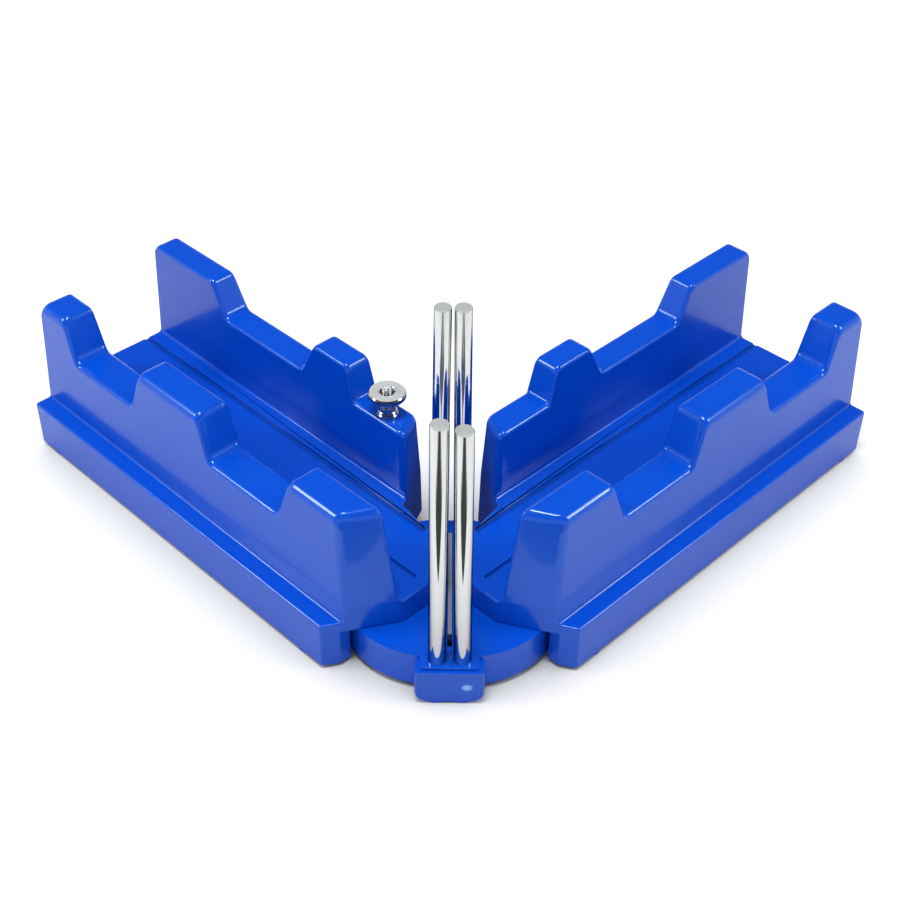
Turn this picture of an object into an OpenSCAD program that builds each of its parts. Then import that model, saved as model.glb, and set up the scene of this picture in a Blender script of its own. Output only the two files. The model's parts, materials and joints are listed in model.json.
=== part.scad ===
// Adjustable mitre box: two trough wings swing about a slotted disc and carry the work,
// four steel pins stand at the ends of the slot and guide the saw.
// X runs to the right, Y away from the user, Z up, with Z = 0 at the bench.
// Each wing has its own frame: its pivot at the origin, X along the trough, Y towards the user.

/* [Pose] */
// Angle between each wing and the saw plane as it stands
wing_angle = 45; // [42.5:0.5:90]
// Smallest angle between a wing and the saw plane
closed_angle = 42.5; // [42.5:0.5:45]

/* [Disc] */
// Distance of each wing's pivot from the saw plane
pivot_x = 7; // [6.5:0.25:8]
// Radius of the disc about each pivot
disc_r = 43.5; // [42:0.5:46]
// Height of the disc's top
disc_top = 21.2; // [20:0.2:23]
// Thickness of the disc's top plate
disc_plate = 5.2; // [4:0.2:6]
// Wall thickness of the disc's rim
disc_wall = 3; // [2.5:0.25:3.5]
// Height of the rim's lower edge
rim_bottom = 3; // [2.5:0.5:4]
// Width of the saw slot
slot_w = 2.2; // [1.6:0.2:3]
// Reach of the saw slot to the front of the pivots' line
slot_front = 37.4; // [34:0.2:38]
// Reach of the saw slot to the rear of the pivots' line
slot_rear = 38.6; // [34:0.2:39]
// Width of a pin boss
boss_w = 31.2; // [28:0.4:32]
// Distance from the pivots' line to the outer face of a pin boss
boss_reach = 51.7; // [51:0.1:52]
// Height of a pin boss's underside
boss_bottom = 1.2; // [1:0.2:3]

/* [Guide pins] */
// Diameter of a guide pin
pin_d = 8; // [7:0.5:8.5]
// Length of a guide pin
pin_len = 149.4; // [120:0.2:160]
// Distance of a pin's axis from the saw plane at the disc's top
pin_x = 5.6; // [5.5:0.1:6]
// Distance of the front pins from the pivots' line
pin_front_y = 44.5; // [43:0.25:44.5]
// Distance of the rear pins from the pivots' line
pin_rear_y = 41; // [41:0.25:44]
// Lean of each pin towards its partner
pin_toe = 0.5; // [0:0.05:0.5]
// Lean of the front left pin, which is pulled up
pulled_toe = 0.15; // [0:0.05:0.5]
// Height of the pins' lower ends, and how far the front left one is pulled up
pin_bottom = 0.3; // [0.2:0.1:1]
// Extra height of the front left pin
pin_pull = 2.9; // [0:0.1:4]

/* [Wings] */
// Length of a wing from its pivot
wing_len = 242.5; // [220:0.5:260]
// Height of the trough's floor
floor_h = 34.2; // [32:0.2:38]
// Distance from the wing's axis to the front wall at the floor
trough_front = 27.2; // [26.6:0.2:28]
// Distance from the wing's axis to the rear wall at the floor
trough_rear = 23.3; // [22.5:0.1:24]
// Thickness of the front wall at the floor
front_wall_t = 21.9; // [20:0.1:24]
// Thickness of the rear wall at the floor
rear_wall_t = 18.7; // [17:0.1:20]
// Thickness of the moulding's skin
skin = 3; // [2.5:0.25:3.25]
// Draft of the walls' inner faces
draft_in = 1.7; // [1:0.1:2]
// Draft of the walls' outer faces
draft_out = 2.9; // [1:0.1:3]
// Width of the ledge along the front wall's foot
ledge_w = 9.1; // [7:0.1:10]
// Height of the ledge
ledge_h = 27; // [25:0.5:29]
// Height of the wing's lower edge
skirt = 2; // [2:0.25:3]
// Height of the front wall's towers
front_tower_h = 85.2; // [80:0.2:90]
// Height of the front wall between its towers
front_step_h = 62; // [58:0.5:64]
// Height of the rear wall's towers
rear_tower_h = 90.2; // [86:0.2:94]
// Height of the rear wall between its towers
rear_step_h = 71; // [68:0.5:73]
// Far side of the front tower by the hub
front_near_end = 45.4; // [42:0.2:48]
// Near side of the front wall's middle tower
front_mid_start = 110.8; // [105:0.2:115]
// Far side of the front wall's middle tower
front_mid_end = 156.6; // [152:0.2:162]
// Length of the front wall's far tower
front_far_len = 22.6; // [20:0.2:30]
// Run of a sloping flank on the front wall
front_flank = 7.5; // [5:0.5:9]
// Near side of the rear wall's middle tower
rear_mid_start = 86.5; // [84:0.5:90]
// Far side of the rear wall's middle tower
rear_mid_end = 110.5; // [104:0.5:112]
// Length of the rear wall's far tower
rear_far_len = 52; // [45:0.5:60]
// Run of a long sloping flank on the rear wall
rear_flank = 9.5; // [8:0.5:14]
// Run of the short flank above the low block
rear_near_flank = 4.5; // [3:0.5:6]

/* [Lock] */
// Distance of the lock bolt from the pivot along the wing
bolt_u = 64.6; // [62:0.2:68]
// Distance of the lock bolt behind the wing's axis
bolt_v = 31.2; // [30.6:0.2:32]
// Diameter of the lock bolt
bolt_d = 5; // [4:0.5:5]
// Diameter of the thumb nut
nut_d = 18.3; // [16:0.1:20]
// Height of the thumb nut
nut_h = 12; // [10:0.5:14]
// Diameter of the thumb nut's neck
nut_neck_d = 9.4; // [8.6:0.2:10]
// How far the bolt stands out of the nut
bolt_out = 3.4; // [1:0.2:5]

/* [Gears] */
// Number of teeth on a gear
gear_teeth = 14; // [14:1:16]
// Pressure angle of the teeth
gear_pressure = 25; // [24:0.5:28]
// Thickness of a gear
gear_t = 6; // [4:0.5:6]

/* [Hidden] */
$fn = 64;
cut = 1;

// Colours of the finishes
blue = "royalblue";
steel = "silver";
black = "dimgray";

// Clearances
run_gap = 0.05;
fit_gap = 0.04;
face_gap = 0.05;
swing_gap = 0.4;
end_gap = 0.3;

// Edge radii
inner_edge_r = 2.5;
outer_edge_r = 5.5;
step_edge_r = 3;
ledge_edge_r = 1.5;
floor_fillet_r = 2;
ledge_fillet_r = 1.5;
tower_edge_r = 4;
tower_fillet_r = 5;
end_edge_r = 5;
boss_corner_r = 6.5;
boss_edge_r = 1.5;
arc_steps = 6;

// Wing plan, seen from above in the wing's frame
hub_r = pivot_x - slot_w / 2 - end_gap;
slant_start = 25.8;
slant_angle = 30.2;
slant_lean = 6.5;
rear_end_u = 42;
rear_end_angle = 25.3;
rear_end_lean = 2.7;
far_lean = 2.3;
lean_from = floor_h + end_gap;
rear_edge_u = 23.5;
rear_edge_v = 16;
open_turn = 90 - wing_angle;
close_turn = wing_angle - closed_angle;

// Parts of the wing that follow from the sizes above
front_out = trough_front + front_wall_t;
rear_out = trough_rear + rear_wall_t;
ledge_out = front_out + (floor_h - ledge_h) * tan(draft_out) + ledge_w;
rear_foot = rear_out + (floor_h - skirt) * tan(draft_out);
front_far_start = wing_len - front_far_len;
rear_far_start = wing_len - rear_far_len;
disc_gap = 2.5;
wear_t = 0.4;
wing_lift = wear_t + 2 * face_gap;
hub_bottom = disc_top + wing_lift;
rib_t = 2;
rib_bottom = 12;
rib_count = 4;
rib_first = 78;
rib_end = 36.5;
rib_last = wing_len - rib_end;

// Grooves along the floor
groove_depth = 1;
front_groove_v = 11;
front_groove_w = 2;
rear_groove_v = -13.8;
rear_groove_w = 3;
groove_start = 1.5;

// Pivots
post_d = 8;
drive_w = 5;
post_boss_d = 17;
wear_washer_d = 2 * hub_r;
plate_t = 1;
plate_top = disc_top - disc_plate - face_gap;
gear_top = plate_top - plate_t - swing_gap;
gear_bottom = gear_top - gear_t;
pivot_washer_t = 1;
pivot_washer_d = 11;
screw_head_h = 2.6;
screw_head_d = 7.6;
screw_d = 3.2;
screw_len = 12;
screw_slot_w = 1;
screw_slot_depth = 1.1;
post_end = gear_bottom + face_gap;

// Steel plate below the slot, on which the saw stops
plate_w = 28;
plate_front = 25;
plate_rear = pin_rear_y - pin_d - 2 * end_gap;
plate_screw_d = 2.5;
plate_head_d = 5;
plate_head_h = 1.5;
plate_bite = 3.4;
plate_screw_x = 10.5;
plate_screw_in = 6;
plate_screw_places = [for (x = [-plate_screw_x, plate_screw_x],
  y = [plate_screw_in - plate_front, plate_rear - plate_screw_in]) [x, y]];

// Top of a pin boss: its shell stands lower than the platform round the pins
boss_step = 1.8;
boss_platform_w = boss_w - 4.8;
boss_platform_in = 1.5;

// Lock quadrant under the left wing
bolt_r = norm([bolt_u, bolt_v]);
bolt_angle = 90 + wing_angle - atan2(bolt_v, bolt_u);
arm_edge = 5.5;
arm_slot_r = bolt_d / 2 + swing_gap;
arm_end_turn = atan((arm_slot_r + arm_edge) / bolt_r);
arm_a0 = bolt_angle - close_turn - arm_end_turn;
arm_a1 = bolt_angle + open_turn + arm_end_turn;
arm_r = bolt_r + arm_slot_r + arm_edge;
arm_bottom = 4.2;
arm_t = 5;
arm_top = arm_bottom + arm_t;
clamp_washer_t = 1;
clamp_washer_d = 14;
bolt_head_d = 12;
bolt_head_h = 2.4;
bolt_boss_d = 13;
bolt_bore_gap = 0.2;
lock_washer_t = 0.8;
lock_washer_d = 10.4;
nut_bottom = rear_step_h + lock_washer_t + 2 * face_gap;
nut_top = nut_bottom + nut_h;
bolt_top = nut_top + bolt_out;
bolt_chamfer = 0.6;

// Feet
foot_d = 8;
foot_inset = 0.4;
foot_front_v = ledge_out - foot_d / 2 - foot_inset;
foot_rear_v = -(rear_foot - foot_d / 2 - foot_inset);
foot_places = [[28.6, foot_front_v], [wing_len - 12.5, foot_front_v],
  [86, foot_rear_v], [wing_len - 12.5, foot_rear_v]];

// Middle of the object's box, so that it stands on its origin
far_corner = wing_len * cos(wing_angle) + rear_foot * sin(wing_angle);
middle_y = (far_corner - boss_reach) / 2;

// Outline helpers: points run counter-clockwise
function unit(v) = v / norm(v);
function left_normal(a, b) = [a[1] - b[1], b[0] - a[0]] / norm(b - a);
function wrap(list, i) = list[(i + len(list)) % len(list)];

// Every edge of an outline moved inwards by one distance
function inset(p, d) = [for (i = [0 : len(p) - 1])
  let (n = left_normal(wrap(p, i - 1), p[i]), m = left_normal(p[i], wrap(p, i + 1)))
  p[i] + (n + m) * d / (1 + n * m)];

// Points of the arc that rounds corner b between its neighbours a and c
function corner_arc(a, b, c, r) =
  let (p = unit(a - b), q = unit(c - b), half = acos(p * q) / 2, side = sign(p[0] * q[1] - p[1] * q[0]),
    start = p * r / tan(half) - unit(p + q) * r / sin(half), sweep = 180 - 2 * half)
  r == 0 ? [b] : [for (i = [0 : arc_steps])
    let (t = -side * i * sweep / arc_steps)
    b + unit(p + q) * r / sin(half)
    + [start[0] * cos(t) - start[1] * sin(t), start[0] * sin(t) + start[1] * cos(t)]];

function rounded(p, radii) = [for (i = [0 : len(p) - 1])
  each corner_arc(wrap(p, i - 1), p[i], wrap(p, i + 1), radii[i])];

// Faces of the walls at height z, with their draft
function front_in_at(z) = trough_front + (z - floor_h) * tan(draft_in);
function front_out_at(z) = front_out - (z - floor_h) * tan(draft_out);
function rear_in_at(z) = -trough_rear - (z - floor_h) * tan(draft_in);
function rear_out_at(z) = -rear_out + (z - floor_h) * tan(draft_out);

// Cross-section of a wing with walls of the given heights, from the given lower edge
function wing_section(front_h, rear_h, low) = [
  [ledge_out, low], [ledge_out, ledge_h], [front_out_at(ledge_h), ledge_h],
  [front_out_at(front_h), front_h], [front_in_at(front_h), front_h], [trough_front, floor_h],
  [-trough_rear, floor_h], [rear_in_at(rear_h), rear_h], [rear_out_at(rear_h), rear_h],
  [rear_out_at(low), low]];
function section_radii(edge) = [0, ledge_edge_r, ledge_fillet_r, edge, inner_edge_r, floor_fillet_r,
  floor_fillet_r, inner_edge_r, inner_edge_r, 0];

// Wing plan: round hub end, slanted front end, set-back rear wall
closed_normal = 180 + 90 - closed_angle;
hub_arc = [for (i = [0 : arc_steps]) let (a = 180 + i * (closed_normal - 180) / arc_steps)
  hub_r * [cos(a), sin(a)]];
function tangent_point(t) = hub_r * [cos(closed_normal), sin(closed_normal)]
  + t * [-sin(closed_normal), cos(closed_normal)];
edge_dir = [-cos(wing_angle), -sin(wing_angle)];
rear_edge = [rear_edge_u, -rear_edge_v];
rear_tip_run = (hub_r - rear_edge * [cos(closed_normal), sin(closed_normal)])
  / (edge_dir * [cos(closed_normal), sin(closed_normal)]);
rear_tip = rear_edge + rear_tip_run * edge_dir;
rear_end_v = 19.5;
plan_reach = ledge_out + skin;
plan_back = rear_foot + skin;
function plan(far) = concat([[far, -plan_back], [far, plan_reach],
  [-hub_r + (plan_reach - slant_start) * tan(slant_angle), plan_reach], [-hub_r, slant_start]],
  hub_arc, [rear_tip, rear_edge, [rear_end_u, -rear_end_v],
  [rear_end_u + (plan_back - rear_end_v) * tan(rear_end_angle), -plan_back]]);

// Side outlines of the walls above their steps
function front_towers(low, far) = [
  [far, low], [far, front_tower_h], [front_far_start, front_tower_h],
  [front_far_start - front_flank, front_step_h], [front_mid_end + front_flank, front_step_h],
  [front_mid_end, front_tower_h], [front_mid_start, front_tower_h],
  [front_mid_start - front_flank, front_step_h], [front_near_end + front_flank, front_step_h],
  [front_near_end, front_tower_h], [-2 * hub_r, front_tower_h], [-2 * hub_r, low]];
front_tower_radii = [0, 0, tower_edge_r, tower_fillet_r, tower_fillet_r, tower_edge_r,
  tower_edge_r, tower_fillet_r, tower_fillet_r, tower_edge_r, 0, 0];
function rear_towers(low, far) = [
  [far, low], [far, rear_tower_h], [rear_far_start, rear_tower_h],
  [rear_far_start - rear_flank, rear_step_h], [rear_mid_end + rear_flank, rear_step_h],
  [rear_mid_end, rear_tower_h], [rear_mid_start, rear_tower_h],
  [rear_mid_start - rear_near_flank, rear_step_h], [0, rear_step_h], [0, low]];
rear_tower_radii = [0, 0, tower_edge_r, tower_fillet_r, tower_fillet_r, tower_edge_r,
  tower_edge_r, tower_edge_r / 2, 0, 0];

// An outline in the wing's cross-section, drawn along the trough from u0 to u1
module along(u0, u1) {
  translate([u0, 0, 0]) rotate([90, 0, 90]) linear_extrude(u1 - u0) children();
}

// An outline in the wing's side view, drawn across the trough from v0 to v1
module across(v0, v1) {
  translate([0, v1, 0]) rotate([90, 0, 0]) linear_extrude(v1 - v0) children();
}

// Pie slice about the Z axis, for cutting sectors
module slice(r, a0, a1, z0, z1) {
  steps = ceil((a1 - a0) / 30);
  translate([0, 0, z0]) linear_extrude(z1 - z0)
    polygon(concat([[0, 0]], [for (i = [0 : steps]) let (a = a0 + i * (a1 - a0) / steps)
      r * [cos(a), sin(a)] / cos((a1 - a0) / steps / 2)]));
}

// Space beyond an end face: from p, just above the floor, the face leans back up to an edge
// rounded by r, and the space reaches from y0 to y1 along the face
module beyond(p, turn, lean, top, r, y0, y1) {
  back = (top - lean_from) * tan(lean);
  edge = corner_arc([0, lean_from], [back, top], [back + top, top], r);
  translate([p[0], p[1], 0]) rotate([0, 0, turn]) translate([0, y1, 0]) rotate([90, 0, 0])
    linear_extrude(y1 - y0) polygon(concat([[0, lean_from]], edge,
      [[edge[len(edge) - 1][0], top + cut], [-top, top + cut], [-top, lean_from]]));
}

module at_bench_middle() {
  translate([0, -middle_y, 0]) children();
}

module left_place() {
  at_bench_middle() translate([-pivot_x, 0, 0]) rotate([0, 0, 90 + wing_angle]) children();
}

module right_place() {
  mirror([1, 0, 0]) left_place() children();
}

// Outside of a wing, solid
module wing_body() {
  far = wing_len;
  over = far + cut;
  difference() {
    intersection() {
      union() {
        along(-2 * hub_r, over)
          polygon(rounded(wing_section(front_step_h, rear_step_h, skirt), section_radii(step_edge_r)));
        intersection() {
          along(-2 * hub_r, over)
            polygon(rounded(wing_section(front_tower_h, rear_tower_h, skirt), section_radii(outer_edge_r)));
          union() {
            across(0, plan_reach) polygon(rounded(front_towers(0, over), front_tower_radii));
            across(-plan_back, 0) polygon(rounded(rear_towers(0, over), rear_tower_radii));
          }
        }
      }
      linear_extrude(rear_tower_h + cut) polygon(plan(far));
    }
    beyond([-hub_r, slant_start], -slant_angle, slant_lean, front_tower_h, end_edge_r, 0, 2 * plan_reach);
    beyond([rear_end_u, -rear_end_v], rear_end_angle, rear_end_lean, rear_step_h, end_edge_r,
      -2 * plan_back, 0);
    beyond([far, 0], 180, far_lean, front_tower_h, end_edge_r, -plan_reach, 0);
    beyond([far, 0], 180, far_lean, rear_tower_h, end_edge_r, 0, plan_back);
  }
}

// Hollow inside the skin, open below, with its ribs and bosses left standing
module wing_hollow() {
  low = -2 * skin;
  far = wing_len;
  difference() {
    intersection() {
      union() {
        along(-hub_r, far)
          polygon(inset(wing_section(front_step_h, rear_step_h, low), skin));
        intersection() {
          along(-hub_r, far)
            polygon(inset(wing_section(front_tower_h, rear_tower_h, low), skin));
          union() {
            across(skin, plan_reach) polygon(inset(front_towers(2 * low, far), skin));
            across(-plan_back, -skin) polygon(inset(rear_towers(2 * low, far), skin));
          }
        }
      }
      translate([0, 0, low]) linear_extrude(rear_tower_h - low) polygon(inset(plan(far), skin));
    }
    for (i = [0 : rib_count - 1]) let (u = rib_first + i * (rib_last - rib_first) / (rib_count - 1))
      translate([u - rib_t / 2, -plan_back, rib_bottom])
        cube([rib_t, plan_back + plan_reach, rear_tower_h]);
    translate([0, 0, skirt]) difference() {
      cylinder(h = floor_h, r = disc_r + disc_gap + skin);
      translate([0, 0, -cut]) cylinder(h = floor_h + 2 * cut, r = disc_r + disc_gap);
    }
    translate([0, 0, hub_bottom]) cylinder(h = floor_h - hub_bottom, d = post_boss_d);
    for (p = foot_places)
      translate([p[0], p[1], skirt]) cylinder(h = floor_h - skirt - skin / 2, d = foot_d);
    beyond([-hub_r + skin, slant_start], -slant_angle, slant_lean, rear_tower_h, 0, 0, 2 * plan_reach);
    beyond([far - skin, 0], 180, far_lean, rear_tower_h, 0, -plan_reach, plan_back);
  }
}

module floor_groove(v, w, start) {
  translate([start, v - w / 2, floor_h - groove_depth])
    cube([wing_len - start + cut, w, groove_depth + cut]);
}

// A wing in its own frame; the one with the lock clears the quadrant and carries the bolt
module wing(lock) {
  difference() {
    union() {
      difference() {
        wing_body();
        wing_hollow();
      }
      for (p = foot_places)
        translate([p[0], p[1], 0]) cylinder(h = skirt + cut, d = foot_d);
      if (lock) intersection() {
        translate([bolt_u, -bolt_v, arm_top + face_gap])
          cylinder(h = rear_step_h - arm_top - skin / 2, d = bolt_boss_d);
        wing_body();
      }
    }
    floor_groove(front_groove_v, front_groove_w, groove_start);
    floor_groove(rear_groove_v, rear_groove_w, rear_end_u / 2);
    translate([0, 0, -cut]) cylinder(h = hub_bottom + cut, r = disc_r + disc_gap);
    translate([-hub_r - cut, 0, -cut])
      cube([hub_r + cut + boss_w / 2 - pivot_x + swing_gap, boss_reach + swing_gap, hub_bottom + cut]);
    if (lock) {
      slice(arm_r + swing_gap, arm_a0 - 90 - wing_angle - open_turn - arm_edge,
        arm_a1 - 90 - wing_angle + close_turn + arm_edge / 2, -cut, arm_top + face_gap);
      translate([bolt_u, -bolt_v, 0])
        cylinder(h = rear_tower_h, d = bolt_d + 2 * bolt_bore_gap);
    }
  }
  post();
}

// Pivot post below a wing, round in the disc's bore and square in its gear
module post() {
  difference() {
    union() {
      translate([0, 0, gear_top]) cylinder(h = hub_bottom - gear_top, d = post_d);
      translate([-drive_w / 2, -drive_w / 2, post_end]) cube([drive_w, drive_w, gear_top - post_end]);
    }
    translate([0, 0, post_end - cut]) cylinder(h = screw_len + cut + face_gap, d = screw_d + 2 * fit_gap);
  }
}

module left_wing() {
  color(blue) left_place() wing(true);
}

module right_wing() {
  color(blue) right_place() wing(false);
}

// Pin boss at the front of the disc, with the pins' sockets under it
module pin_boss(pin_y) {
  inner_y = -pin_y + pin_d;
  reach = boss_reach - pin_front_y + pin_y;
  x = boss_w / 2;
  step_x = boss_platform_w / 2;
  step_z = disc_top - boss_step;
  intersection() {
    translate([0, inner_y, 0]) rotate([90, 0, 0]) linear_extrude(reach + inner_y)
      polygon(rounded([[-x, boss_bottom], [x, boss_bottom], [x, step_z], [-x, step_z]],
        [boss_corner_r, boss_corner_r, boss_edge_r, boss_edge_r]));
    linear_extrude(disc_top)
      polygon(rounded([[-x, -reach], [x, -reach], [x, inner_y], [-x, inner_y]],
        [boss_edge_r, boss_edge_r, 0, 0]));
  }
  translate([0, 0, disc_top - disc_plate]) linear_extrude(disc_plate)
    polygon(rounded([[-step_x, boss_platform_in - reach], [step_x, boss_platform_in - reach],
      [step_x, inner_y], [-step_x, inner_y]], [boss_edge_r, boss_edge_r, 0, 0]));
  for (side = [-1, 1])
    translate([side * pin_x, -pin_y, 0]) cylinder(h = boss_bottom + cut, d = pin_d + 2 * disc_wall);
}

// Where a pin stands: its axis leans towards the saw plane
module pin_place(side, y, toe) {
  translate([side * pin_x, y, disc_top]) rotate([0, -side * toe, 0])
    translate([0, 0, -disc_top]) children();
}

module disc_outline(r, z0, z1) {
  for (side = [-1, 1]) translate([side * pivot_x, 0, z0]) cylinder(h = z1 - z0, r = r);
}

// Sector plate that the lock bolt clamps, with its arc slot about the left pivot
module quadrant() {
  translate([-pivot_x, 0, 0]) difference() {
    intersection() {
      translate([0, 0, arm_bottom]) cylinder(h = arm_t, r = arm_r);
      slice(arm_r, arm_a0, arm_a1, 0, arm_top + cut);
    }
    translate([0, 0, arm_bottom - cut]) cylinder(h = arm_t + 2 * cut, r = disc_r - disc_wall / 2);
    intersection() {
      translate([0, 0, arm_bottom - cut]) difference() {
        cylinder(h = arm_t + 2 * cut, r = bolt_r + arm_slot_r);
        translate([0, 0, -cut]) cylinder(h = arm_t + 4 * cut, r = bolt_r - arm_slot_r);
      }
      slice(arm_r, bolt_angle - close_turn, bolt_angle + open_turn, 0, arm_top + 2 * cut);
    }
    for (a = [bolt_angle - close_turn, bolt_angle + open_turn])
      rotate([0, 0, a]) translate([bolt_r, 0, arm_bottom - cut])
        cylinder(h = arm_t + 2 * cut, r = arm_slot_r);
  }
}

module base_disc() {
  rib_r = 18;
  color(blue) at_bench_middle() difference() {
    union() {
      difference() {
        disc_outline(disc_r, rim_bottom, disc_top);
        disc_outline(disc_r - disc_wall, -cut, disc_top - disc_plate);
      }
      intersection() {
        disc_outline(disc_r - disc_wall / 2, rib_bottom, disc_top - disc_plate / 2);
        for (a = [30 : 30 : 330]) if (a != 90 && a != 180 && a != 270) rotate([0, 0, a])
          translate([rib_r, -rib_t / 2, 0]) cube([disc_r, rib_t, disc_top]);
      }
      pin_boss(pin_front_y);
      rotate([0, 0, 180]) pin_boss(pin_rear_y);
      quadrant();
    }
    translate([-slot_w / 2, -slot_front, disc_top - disc_plate - cut])
      cube([slot_w, slot_front + slot_rear, disc_plate + 2 * cut]);
    translate([-plate_w / 2 - end_gap, -plate_front - end_gap, 0])
      cube([plate_w + 2 * end_gap, plate_front + plate_rear + 2 * end_gap, disc_top - disc_plate]);
    for (p = plate_screw_places) translate([p[0], p[1], 0])
      cylinder(h = disc_top - disc_plate + plate_bite + fit_gap, d = plate_screw_d + 2 * fit_gap);
    for (side = [-1, 1]) {
      translate([side * pivot_x, 0, 0]) cylinder(h = disc_top + cut, d = post_d + 2 * run_gap);
      pin_place(side, -pin_front_y, side < 0 ? pulled_toe : pin_toe) pin_bore();
      pin_place(side, pin_rear_y, pin_toe) pin_bore();
    }
  }
}

module pin_bore() {
  translate([0, 0, -2 * cut]) cylinder(h = disc_top + 4 * cut, d = pin_d + 2 * fit_gap);
}

// Ground steel rod with a small chamfer at each end
module guide_pin(side, y, toe, bottom) {
  chamfer = pin_d / 12;
  r = pin_d / 2;
  color(steel) at_bench_middle() pin_place(side, y, toe) translate([0, 0, bottom])
    rotate_extrude() polygon([[0, 0], [r - chamfer, 0], [r, chamfer], [r, pin_len - chamfer],
      [r - chamfer, pin_len], [0, pin_len]]);
}

module front_left_pin() {
  guide_pin(-1, -pin_front_y, pulled_toe, pin_bottom + pin_pull);
}

module front_right_pin() {
  guide_pin(1, -pin_front_y, pin_toe, pin_bottom);
}

module rear_left_pin() {
  guide_pin(-1, pin_rear_y, pin_toe, pin_bottom);
}

module rear_right_pin() {
  guide_pin(1, pin_rear_y, pin_toe, pin_bottom);
}

// Involute gear: the pitch radius is the pivots' distance from the saw plane
pitch_r = pivot_x;
gear_module = 2 * pitch_r / gear_teeth;
addendum_share = 0.85;
dedendum_share = 1.2;
tip_r = pitch_r + addendum_share * gear_module;
root_r = pitch_r - dedendum_share * gear_module;
gear_base_r = pitch_r * cos(gear_pressure);
backlash = 0.16;
flank_steps = 5;
function involute_turn(r) = let (a = acos(min(1, gear_base_r / r))) tan(a) * 180 / PI - a;
tooth_half = 90 / gear_teeth - backlash / pitch_r * 90 / PI + involute_turn(pitch_r);
function tooth_point(r, side, turn) =
  let (a = turn + side * (tooth_half - involute_turn(max(r, gear_base_r)))) r * [cos(a), sin(a)];
function flank_r(i) = gear_base_r + i * (tip_r - gear_base_r) / flank_steps;
function tooth(turn) = concat([tooth_point(root_r, -1, turn)],
  [for (i = [0 : flank_steps]) tooth_point(flank_r(i), -1, turn)],
  [for (i = [flank_steps : -1 : 0]) tooth_point(flank_r(i), 1, turn)],
  [tooth_point(root_r, 1, turn)]);

module gear(first_tooth) {
  translate([0, 0, gear_bottom]) difference() {
    linear_extrude(gear_t)
      polygon([for (i = [0 : gear_teeth - 1]) each tooth(first_tooth + i * 360 / gear_teeth)]);
    translate([-drive_w / 2 - fit_gap, -drive_w / 2 - fit_gap, -cut])
      cube([drive_w + 2 * fit_gap, drive_w + 2 * fit_gap, gear_t + 2 * cut]);
  }
}

// The left gear points a tooth at the other pivot, the right one a gap
module left_gear() {
  color(black) left_place() gear(-90 - wing_angle);
}

module right_gear() {
  color(black) right_place() gear(-90 - wing_angle + 180 / gear_teeth);
}

module ring(d_out, d_in, h) {
  difference() {
    cylinder(h = h, d = d_out);
    translate([0, 0, -cut]) cylinder(h = h + 2 * cut, d = d_in);
  }
}

module wear_washer() {
  translate([0, 0, disc_top + face_gap]) ring(wear_washer_d, post_d + 2 * fit_gap, wear_t);
}

module left_wear_washer() {
  color("white") left_place() wear_washer();
}

module right_wear_washer() {
  color("white") right_place() wear_washer();
}

// Plate under the slot, with holes for the posts and for its screws
module slot_plate() {
  color(steel) at_bench_middle() difference() {
    translate([-plate_w / 2, -plate_front, plate_top - plate_t])
      cube([plate_w, plate_front + plate_rear, plate_t]);
    for (side = [-1, 1])
      translate([side * pivot_x, 0, 0]) cylinder(h = disc_top, d = post_d + 2 * end_gap);
    for (p = plate_screw_places)
      translate([p[0], p[1], 0]) cylinder(h = disc_top, d = plate_screw_d + 2 * fit_gap);
  }
}

module plate_screws() {
  head_top = plate_top - plate_t - face_gap;
  color(steel) at_bench_middle() for (p = plate_screw_places) translate([p[0], p[1], head_top - plate_head_h])
    difference() {
      union() {
        cylinder(h = plate_head_h, d = plate_head_d);
        cylinder(h = disc_top - disc_plate + plate_bite - head_top + plate_head_h, d = plate_screw_d);
      }
      for (a = [0, 90]) rotate([0, 0, a])
        translate([-plate_head_d / 3, -screw_slot_w / 3, -cut])
          cube([plate_head_d * 2 / 3, screw_slot_w * 2 / 3, plate_head_h / 2 + cut]);
    }
}

washer_top = gear_bottom - face_gap;

module pivot_washer() {
  translate([0, 0, washer_top - pivot_washer_t]) ring(pivot_washer_d, screw_d + 2 * fit_gap, pivot_washer_t);
}

module left_pivot_washer() {
  color(steel) left_place() pivot_washer();
}

module right_pivot_washer() {
  color(steel) right_place() pivot_washer();
}

// Pan-head screw that holds a wing down, driven from below
module pivot_screw() {
  head_top = washer_top - pivot_washer_t - face_gap;
  difference() {
    union() {
      translate([0, 0, head_top - screw_head_h]) cylinder(h = screw_head_h, d = screw_head_d);
      translate([0, 0, head_top - cut]) cylinder(h = screw_len - cut, d = screw_d);
    }
    for (a = [0, 90]) rotate([0, 0, a])
      translate([-screw_head_d / 3, -screw_slot_w / 2, head_top - screw_head_h - cut])
        cube([screw_head_d * 2 / 3, screw_slot_w, screw_slot_depth + cut]);
  }
}

module left_pivot_screw() {
  color(steel) left_place() pivot_screw();
}

module right_pivot_screw() {
  color(steel) right_place() pivot_screw();
}

// Round-headed bolt of the lock, its head under the quadrant
clamp_top = arm_bottom - face_gap;
bolt_head_top = clamp_top - clamp_washer_t - face_gap;

module lock_bolt() {
  r = bolt_d / 2;
  head = bolt_head_d / 2;
  dome = bolt_head_h / 2;
  color(steel) left_place() translate([bolt_u, -bolt_v, 0])
    rotate_extrude() polygon([[0, bolt_head_top - bolt_head_h], [head - dome, bolt_head_top - bolt_head_h],
      [head, bolt_head_top - dome], [head, bolt_head_top], [r, bolt_head_top],
      [r, bolt_top - bolt_chamfer], [r - bolt_chamfer, bolt_top], [0, bolt_top]]);
}

module clamp_washer() {
  color(steel) left_place() translate([bolt_u, -bolt_v, clamp_top - clamp_washer_t])
    ring(clamp_washer_d, bolt_d + 2 * fit_gap, clamp_washer_t);
}

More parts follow.
